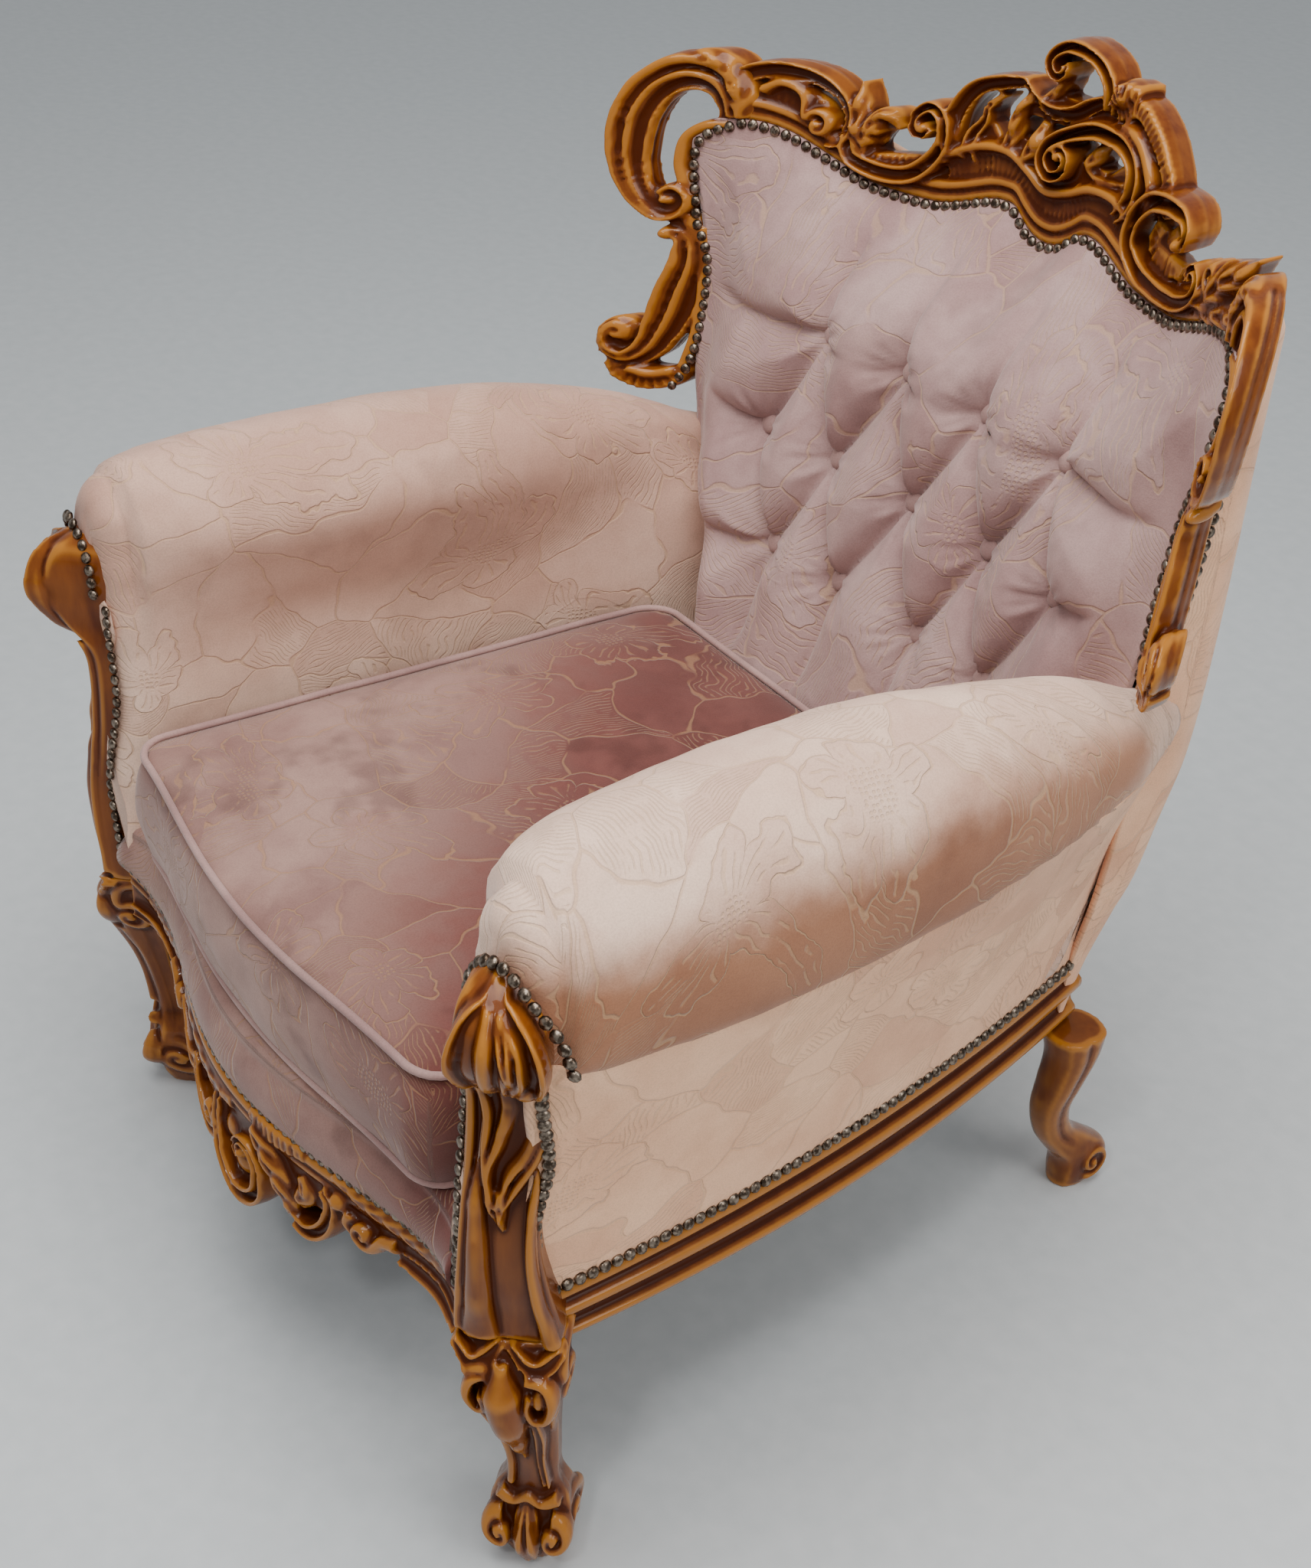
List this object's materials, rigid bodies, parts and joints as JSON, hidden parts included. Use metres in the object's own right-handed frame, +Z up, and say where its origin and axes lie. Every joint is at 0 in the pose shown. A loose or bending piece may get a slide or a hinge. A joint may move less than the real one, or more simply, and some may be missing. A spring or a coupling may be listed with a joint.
{
  "type": "upholstered armchair",
  "caption": "Old show-wood armchair with carved frame, deep-buttoned back, rolled arms and a loose boxed seat cushion.",
  "frame": {"origin": "on the floor, under the centre of the chair's bounding box", "axes": "+Z up, -Y towards the front of the seat, +X towards the sitter's left arm"},
  "size_m": [0.8928, 0.9324, 1.098],
  "materials": {
    "show_wood": "carved hardwood, glossy honey-brown varnish with dark glaze in the recesses, rubbed edges",
    "frame_timber": "sawn hardwood, unfinished",
    "velour": "dusty pink pile velour, embossed floral line pattern, crushed and worn nap",
    "webbing": "woven jute webbing",
    "lining": "thin black spun lining",
    "spring_steel": "drawn spring wire",
    "nail_brass": "antique domed nail heads, dark bronze with bright rubbed tops"
  },
  "bodies": {
    "root": {"front_leg_left": "show_wood", "front_leg_right": "show_wood", "arm_post_left": "show_wood", "arm_post_right": "show_wood", "rear_leg_left": "show_wood", "rear_leg_right": "show_wood", "side_rail_left": "show_wood", "side_rail_right": "show_wood", "back_scroll_frame_left": "show_wood", "back_scroll_frame_right": "show_wood", "front_corner_block_left": "frame_timber", "front_corner_block_right": "frame_timber", "rear_corner_block_left": "frame_timber", "rear_corner_block_right": "frame_timber", "back_post_left": "frame_timber", "back_post_right": "frame_timber", "arm_rail_left": "frame_timber", "arm_rail_right": "frame_timber", "arm_tacking_rail_left": "frame_timber", "arm_tacking_rail_right": "frame_timber", "arm_pad_left": "velour", "arm_pad_right": "velour", "outside_arm_panel_left": "velour", "outside_arm_panel_right": "velour", "front_rail": "show_wood", "crest_rail": "show_wood", "rear_rail": "frame_timber", "lower_back_rail": "frame_timber", "seat_spring_1": "spring_steel", "seat_spring_2": "spring_steel", "seat_spring_3": "spring_steel", "seat_spring_4": "spring_steel", "seat_spring_5": "spring_steel", "back_web_1": "webbing", "back_web_2": "webbing", "back_web_3": "webbing", "seat_deck": "velour", "seat_cushion": "velour", "inside_back_pad": "velour", "outside_back": "velour", "back_button_1": "velour", "back_button_2": "velour", "back_button_3": "velour", "back_button_4": "velour", "back_button_5": "velour", "back_button_6": "velour", "back_button_7": "velour", "back_button_8": "velour", "back_button_9": "velour", "back_button_10": "velour", "back_button_11": "velour", "back_button_12": "velour", "back_button_13": "velour", "dust_cover": "lining"}
  },
  "joints": []
}
